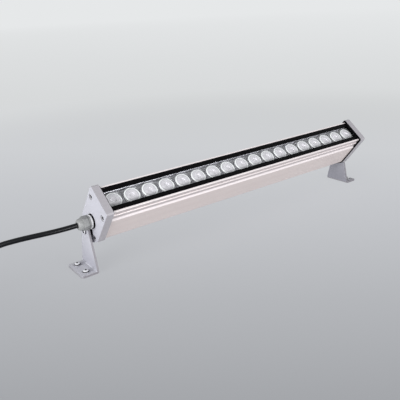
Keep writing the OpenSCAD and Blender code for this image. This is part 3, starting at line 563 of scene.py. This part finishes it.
# Brackets
# Bent aluminium plate, powder coated as the caps are, with its cut edges painted darker as shade. The upright
# is painted darker towards its bottom as shade, and the near foot's top is painted lighter than the far one's as
# light and shade. The upright narrows to a round head about its pivot bolt, and the foot has rounded corners.
lowest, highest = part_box("bracket_cable_end")
foot_end_x = abs(lowest.x)
half_width = highest.y
top_r = highest.z - pivot_level
foot_top = 0.003
corner_r = 0.003
side_drop = pivot_level - foot_top
side_lean = math.acos(top_r / math.hypot(half_width, side_drop)) - math.atan2(side_drop, half_width)
plate = Finish("bracket_coat", Roughness=0.5)
outwards = abs(plate.place.part(0))
spread = abs(plate.place.part(1))
rise = plate.place.part(2)
over_pivot = rise - pivot_level
off_side = spread * math.cos(side_lean) + over_pivot * math.sin(side_lean)
off_pivot = (spread * spread + over_pivot * over_pivot).power(0.5)
side_edge = off_side.step(top_r - 0.00015, top_r - 0.00005)
top_edge = off_pivot.step(top_r - 0.00015, top_r - 0.00005) * over_pivot.step(0.0022, 0.0026)
foot_side_edge = spread.step(half_width - 0.0002, half_width - 0.0001)
cut_edge = (side_edge + top_edge + foot_side_edge).at_most(1.0)
past_corner_x = (outwards - (foot_end_x - corner_r)).at_least(0.0)
past_corner_y = (spread - (half_width - corner_r)).at_least(0.0)
off_corner = (past_corner_x.power(2) + past_corner_y.power(2)).power(0.5)
foot_end_edge = outwards.step(foot_end_x - 0.0003, foot_end_x - 0.0001)
foot_end_edge = (foot_end_edge + off_corner.step(corner_r - 0.00015, corner_r - 0.0001)).at_most(1.0)
coated = plate.between(35, (166, 166, 173), (174, 174, 182))
# Painted shade: the upright is painted darker towards its bottom.
coated = plate.blend(rise.step(0.005, 0.05), colour(150, 150, 159), coated)
# Painted light and shade: the top of the near foot is painted lighter, the far foot's darker.
feet_lit_and_shaded = plate.between(plate.place.part(0).step(-0.2, 0.2), (190, 190, 197), (164, 162, 168))
coated = plate.blend(rise.step(foot_top + 0.0001, foot_top + 0.0006), feet_lit_and_shaded, coated)
# Painted shade: the end edges of the foot and the cut edges of the plate are painted darker.
coated = plate.blend(foot_end_edge, coated, colour(134, 133, 138))
plate.set("Base Color", plate.blend(cut_edge, coated, colour(124, 121, 127)))
plate.grain(1400, 0.00005, 0.5)
plate.put("bracket_cable_end", "bracket_blind_end")

# Foot screws
# Button-head socket screw with a plain washer in each hole of the feet, turned from stainless steel. Its
# socket and the skirt of its head are painted near black as shade, and its washer is painted darker grey as shade.
foot_holes = next(mount for mount in frame["record"]["mounts"] if mount["name"] == "foot_holes")["dims"]
foot_spacing = foot_holes["spacing_x_mm"] / 1000
hole_spacing = foot_holes["spacing_y_mm"] / 1000
washer_r = 0.0056
washer_t = 0.001
seat = foot_top + washer_t
shank_r = 0.0024
shank_h = 0.0036
button_r = 0.0046
button_flatness = 0.63
key_r = 0.0017
key_h = 0.0036
key_floor = seat + 0.0009
below_size = 0.02


def over_hole(level):
    """The point at this level on the axis of the first hole."""
    return (-foot_spacing / 2, -hole_spacing / 2, level)


bpy.ops.object.select_all(action="DESELECT")
bpy.ops.mesh.primitive_cylinder_add(
    vertices=40, radius=shank_r, depth=shank_h, location=over_hole(seat - shank_h / 2)
)
shank = bpy.context.object
bpy.ops.object.select_all(action="DESELECT")
bpy.ops.mesh.primitive_cylinder_add(
    vertices=64, radius=washer_r, depth=washer_t, location=over_hole(seat - washer_t / 2)
)
washer = bpy.context.object
modify(washer, "BEVEL", width=0.0002, segments=2)
bpy.ops.object.select_all(action="DESELECT")
bpy.ops.mesh.primitive_uv_sphere_add(segments=48, ring_count=32, radius=button_r, location=over_hole(seat))
foot_screw = bpy.context.object
foot_screw.scale = (1, 1, button_flatness)
bpy.ops.object.transform_apply(location=False, scale=True)
bpy.ops.object.select_all(action="DESELECT")
bpy.ops.mesh.primitive_cube_add(size=below_size, location=over_hole(seat - below_size / 2))
below_seat = bpy.context.object
bpy.ops.mesh.primitive_cylinder_add(
    vertices=6, radius=key_r, depth=key_h, location=over_hole(key_floor + key_h / 2)
)
key_hole = bpy.context.object
for cutter in (below_seat, key_hole):
    bpy.ops.object.select_all(action="DESELECT")
    foot_screw.select_set(True)
    bpy.context.view_layer.objects.active = foot_screw
    modify(foot_screw, "BOOLEAN", operation="DIFFERENCE", solver="EXACT", object=cutter)
    bpy.data.objects.remove(cutter)
shank.select_set(True)
washer.select_set(True)
bpy.ops.object.join()
bpy.ops.object.transform_apply(location=True)
bpy.ops.object.shade_smooth_by_angle(angle=math.radians(35))
button = Finish("button_screw", Metallic=0.45)
off_x = abs(button.place.part(0)) - foot_spacing / 2
off_y = abs(button.place.part(1)) - hole_spacing / 2
off_axis = (off_x * off_x + off_y * off_y).power(0.5)
rise = button.place.part(2)
over_washer = rise.step(seat, seat + 0.0002)
skirt = rise.step(seat + 0.0001, seat + 0.0003) * (1 - rise.step(0.0053, 0.0057))
# Painted shade: the socket and the skirt of the head are painted near black.
painted_shade = (skirt + 1 - off_axis.step(0.0016, 0.0018)).at_most(1.0)
turned = (off_axis * 30000).sine() * 0.5 + 0.5
metal = button.between(turned, (214, 214, 218), (238, 238, 241))
# Painted shade: the washer is painted darker grey than the head.
metal = button.blend(over_washer, colour(150, 150, 157), metal)
button.set("Base Color", button.blend(painted_shade, metal, colour(16, 16, 20)))
button.set("Roughness", button.noise(2200) * 0.2 + 0.58 - over_washer * 0.3)
button.put(foot_screw)
for body, along_lamp in (("bracket_cable_end", 0), ("bracket_blind_end", foot_spacing)):
    for number, across_foot in ((1, 0), (2, hole_spacing)):
        screw = foot_screw.copy()
        screw.data = foot_screw.data.copy()
        screw.data.transform(Matrix.Translation((along_lamp, across_foot, 0)))
        screw.name = f"foot_screw_{body}_{number}"
        bpy.context.collection.objects.link(screw)
        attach(screw, body)
bpy.data.objects.remove(foot_screw)

# Driver
# Potted driver in a pale plastic case, screwed up to the underside of the platform. A soft grey-blue
# thermal pad carries its heat into the housing.
case = Finish("driver_case", Roughness=0.5)
case.set("Base Color", case.between(80, (214, 214, 210), (222, 222, 218)))
case.put("driver_case")
pad = Finish("thermal_pad", Roughness=0.8)
pad.set("Base Color", pad.between(200, (120, 138, 160), (134, 150, 172)))
pad.put("driver_pad")

# Wires
# Brown, blue and green-and-yellow cores with tinned ferrules at the bare end of the lead. Inside run the
# earth core with its ring tag, and the grey wires of the driver.
green = (38, 120, 52)
yellow = (222, 206, 40)
cores = Finish("core_insulation", Roughness=0.32)
core_side = cores.place.part(0) + 0.549
core_lift = cores.place.part(2) - 0.00515
helix = (core_lift.angle_over(core_side) + cores.place.part(1) * 260).sine()
earth = cores.between(helix.step(0.25, 0.3), green, yellow)
live = cores.between(core_side.step(-0.0001, 0.0001), (104, 62, 38), (36, 82, 168))
cores.set("Base Color", cores.blend(core_lift.step(-0.0013, -0.0012), live, earth))
cores.grain(3000, 0.00003)
cores.put("lead_cores")
earthing = Finish("earth_insulation", Roughness=0.35)
bands = (earthing.place.part(0) * 900 + earthing.place.part(1) * 2600).sine()
earthing.set("Base Color", earthing.between(bands.step(-0.1, 0.1), green, yellow))
earthing.put("earth_core")
tinned = Finish("tinned_copper", Metallic=0.9, Roughness=0.38)
tinned.set("Base Color", tinned.between(1800, (150, 150, 152), (186, 186, 188)))
tinned.put("core_ferrules", "earth_tag")
wire = Finish("wire_insulation", Roughness=0.35)
wire.set("Base Color", wire.between(300, (60, 60, 66), (74, 74, 80)))
wire.put("output_wires", "input_cores")
